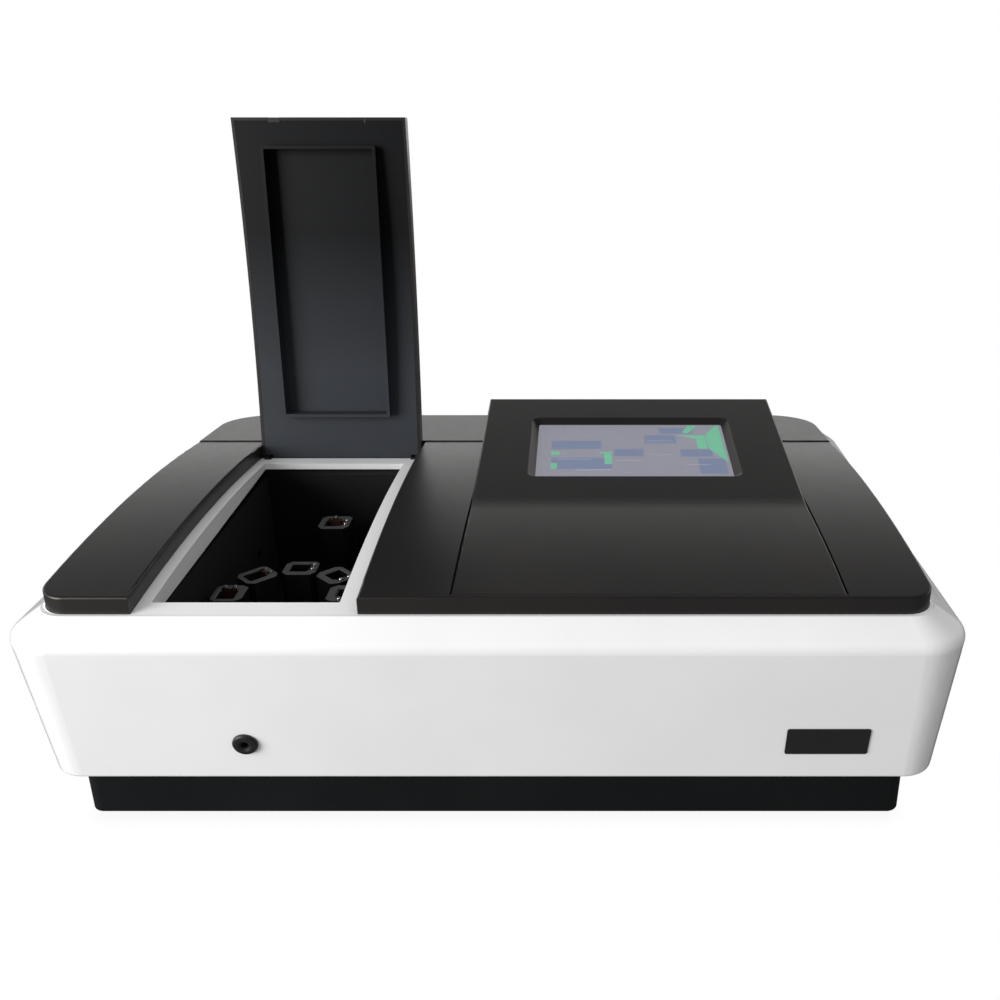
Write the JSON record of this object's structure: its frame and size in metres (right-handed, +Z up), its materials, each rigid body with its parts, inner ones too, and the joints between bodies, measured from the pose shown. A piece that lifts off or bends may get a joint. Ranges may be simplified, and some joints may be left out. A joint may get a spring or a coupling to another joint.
{
  "type": "spectrophotometer",
  "caption": "Bench-top UV-visible spectrophotometer with a lifted compartment lid, rotating cell carousel, fixed reference cell holder and sloping touch-screen console.",
  "frame": {"origin": "on the bench, under the middle of the body", "axes": "+Z up, +X to the operator's right, +Y to the back; the operator's side is -Y"},
  "size_m": [0.6074, 0.444, 0.4431],
  "materials": {
    "housing_white": "fine textured off-white moulding",
    "cover_black": "satin black",
    "pan_black": "powder-coated black",
    "foot_rubber": "matt",
    "screen_glass": "clear, smooth",
    "screen_face": "lit display face",
    "circuit_board": "green solder mask",
    "port_rubber": "moulded black",
    "blank_plate": "blank brushed plate",
    "lid_inner": "satin blue-grey",
    "magnet_black": "black coated",
    "bright_steel": "bright",
    "polished_steel": "polished",
    "zinc_sheet": "zinc plated",
    "chamber_black": "matt black",
    "quartz": "clear",
    "holder_black": "black anodised",
    "leaf_copper": "copper leaf",
    "bearing_bronze": "sintered bronze",
    "motor_black": "black",
    "cast_aluminium": "cast, bead blasted",
    "optic_black": "matt black",
    "mirror_face": "front-surface mirror",
    "ceramic_white": "glazed",
    "lamp_glass": "clear",
    "panel_grey": "painted grey",
    "socket_black": "black",
    "rocker_black": "black"
  },
  "bodies": {
    "chassis": {"base_pan": "pan_black", "rubber_feet": "foot_rubber", "housing_shell": "housing_white", "left_cover": "cover_black", "right_cover": "cover_black", "rear_cover": "cover_black", "display_console": "cover_black", "touch_glass": "screen_glass", "screen_panel": "screen_face", "display_board": "circuit_board", "tube_port": "port_rubber", "name_plate": "blank_plate", "hinge_trough": "optic_black", "hinge_pins": "optic_black", "chamber_liner": "chamber_black", "beam_windows": "quartz", "carousel_bearing": "bearing_bronze", "carousel_motor": "motor_black", "reference_holder": "holder_black", "reference_springs": "leaf_copper", "reference_ball_pins": "polished_steel", "optical_bench": "cast_aluminium", "detector_housings": "optic_black", "photodiodes": "ceramic_white", "monochromator_housing": "cast_aluminium", "monochromator_lid": "optic_black", "slit_plates": "bright_steel", "collimating_mirrors": "mirror_face", "beam_splitter": "mirror_face", "grating_motor": "motor_black", "lamp_housing": "cast_aluminium", "lamp_bulbs": "lamp_glass", "lamp_bases": "ceramic_white", "source_mirror_motor": "motor_black", "filter_bracket": "zinc_sheet", "main_board": "circuit_board", "power_supply": "zinc_sheet", "rear_panel": "panel_grey", "rear_screws": "bright_steel", "housing_screws": "bright_steel", "mains_inlet": "socket_black", "switch_frame": "socket_black", "data_ports": "bright_steel", "fan_frame": "socket_black"},
    "lid": {"lid_shell": "cover_black", "lid_liner": "lid_inner", "lid_magnet": "magnet_black", "lid_catch_tab": "bright_steel", "lid_hinge_arms": "optic_black"},
    "carousel": {"carousel_hub": "holder_black", "cell_holders": "holder_black", "cell_springs": "leaf_copper", "cell_ball_pins": "polished_steel"},
    "grating_stage": {"grating_table": "cast_aluminium", "diffraction_grating": "mirror_face"},
    "lamp_mirror": {"source_mirror": "mirror_face"},
    "wheel": {"filter_wheel": "optic_black"},
    "rotor": {"fan_rotor": "socket_black"},
    "rocker": {"power_rocker": "rocker_black"},
    "drawer": {"fuse_drawer": "socket_black"}
  },
  "joints": [
    {"name": "lid_hinge", "type": "hinge", "parent": "chassis", "child": "lid", "pos_m": [-0.149, 0.0804, 0.1618], "axis": [1, 0, 0], "range_deg": [0, 94.6]},
    {"name": "carousel_turn", "type": "hinge", "parent": "chassis", "child": "carousel", "pos_m": [-0.1529, -0.1083, 0.1], "axis": [0, 0, 1], "continuous": true},
    {"name": "grating_turn", "type": "hinge", "parent": "chassis", "child": "grating_stage", "pos_m": [0.06, 0.04, 0.06], "axis": [0, 0, 1], "range_deg": [-25, 25]},
    {"name": "lamp_mirror_turn", "type": "hinge", "parent": "chassis", "child": "lamp_mirror", "pos_m": [0.186, -0.065, 0.09], "axis": [0, 0, 1], "range_deg": [0, 60]},
    {"name": "filter_wheel_turn", "type": "hinge", "parent": "chassis", "child": "wheel", "pos_m": [0.1465, -0.045, 0.078], "axis": [1, 0, 0], "continuous": true},
    {"name": "fan_spin", "type": "hinge", "parent": "chassis", "child": "rotor", "pos_m": [0.175, 0.195, 0.095], "axis": [0, 1, 0], "continuous": true},
    {"name": "power_switch", "type": "hinge", "parent": "chassis", "child": "rocker", "pos_m": [-0.066, 0.206, 0.095], "axis": [1, 0, 0], "range_deg": [0, 14]},
    {"name": "fuse_drawer_slide", "type": "slide", "parent": "chassis", "child": "drawer", "axis": [0, 1, 0], "range_m": [0, 0.016]}
  ]
}
